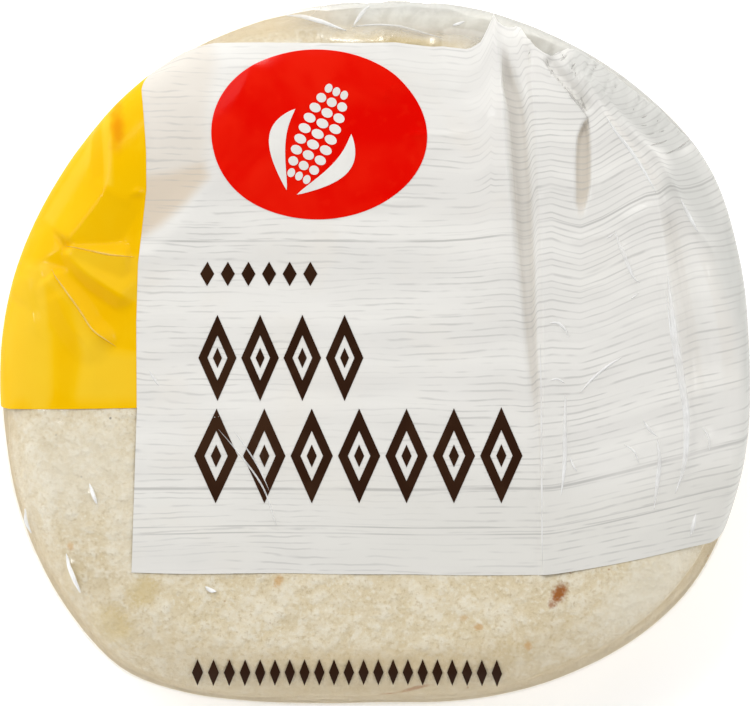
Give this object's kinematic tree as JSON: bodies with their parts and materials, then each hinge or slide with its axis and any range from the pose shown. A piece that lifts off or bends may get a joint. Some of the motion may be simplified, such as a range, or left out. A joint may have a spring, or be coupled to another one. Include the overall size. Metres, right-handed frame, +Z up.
{
  "type": "bagged corn tortilla stack",
  "caption": "Sealed clear bag of white corn tortillas, round and flat, with a printed front, gathered film folds and rounded edges.",
  "frame": {"origin": "under the middle of the pack, on the surface it lies on", "axes": "+X across the printed front to its right, +Y towards the gathered end, +Z up out of the printed front"},
  "size_m": [0.1608, 0.151, 0.0492],
  "materials": {
    "clear_film": "thin clear bag film, glossy, with soft creases",
    "print_white": "white ink with fine grey wood grain lines under glossy film",
    "print_yellow": "warm yellow ink under glossy film",
    "print_red": "red ink under glossy film",
    "print_brown": "dark brown ink under glossy film",
    "tortilla": "matt baked white corn dough, mottled cream with a few toasted spots"
  },
  "bodies": {
    "root": {"tortilla_bag": "clear_film"}
  },
  "joints": []
}
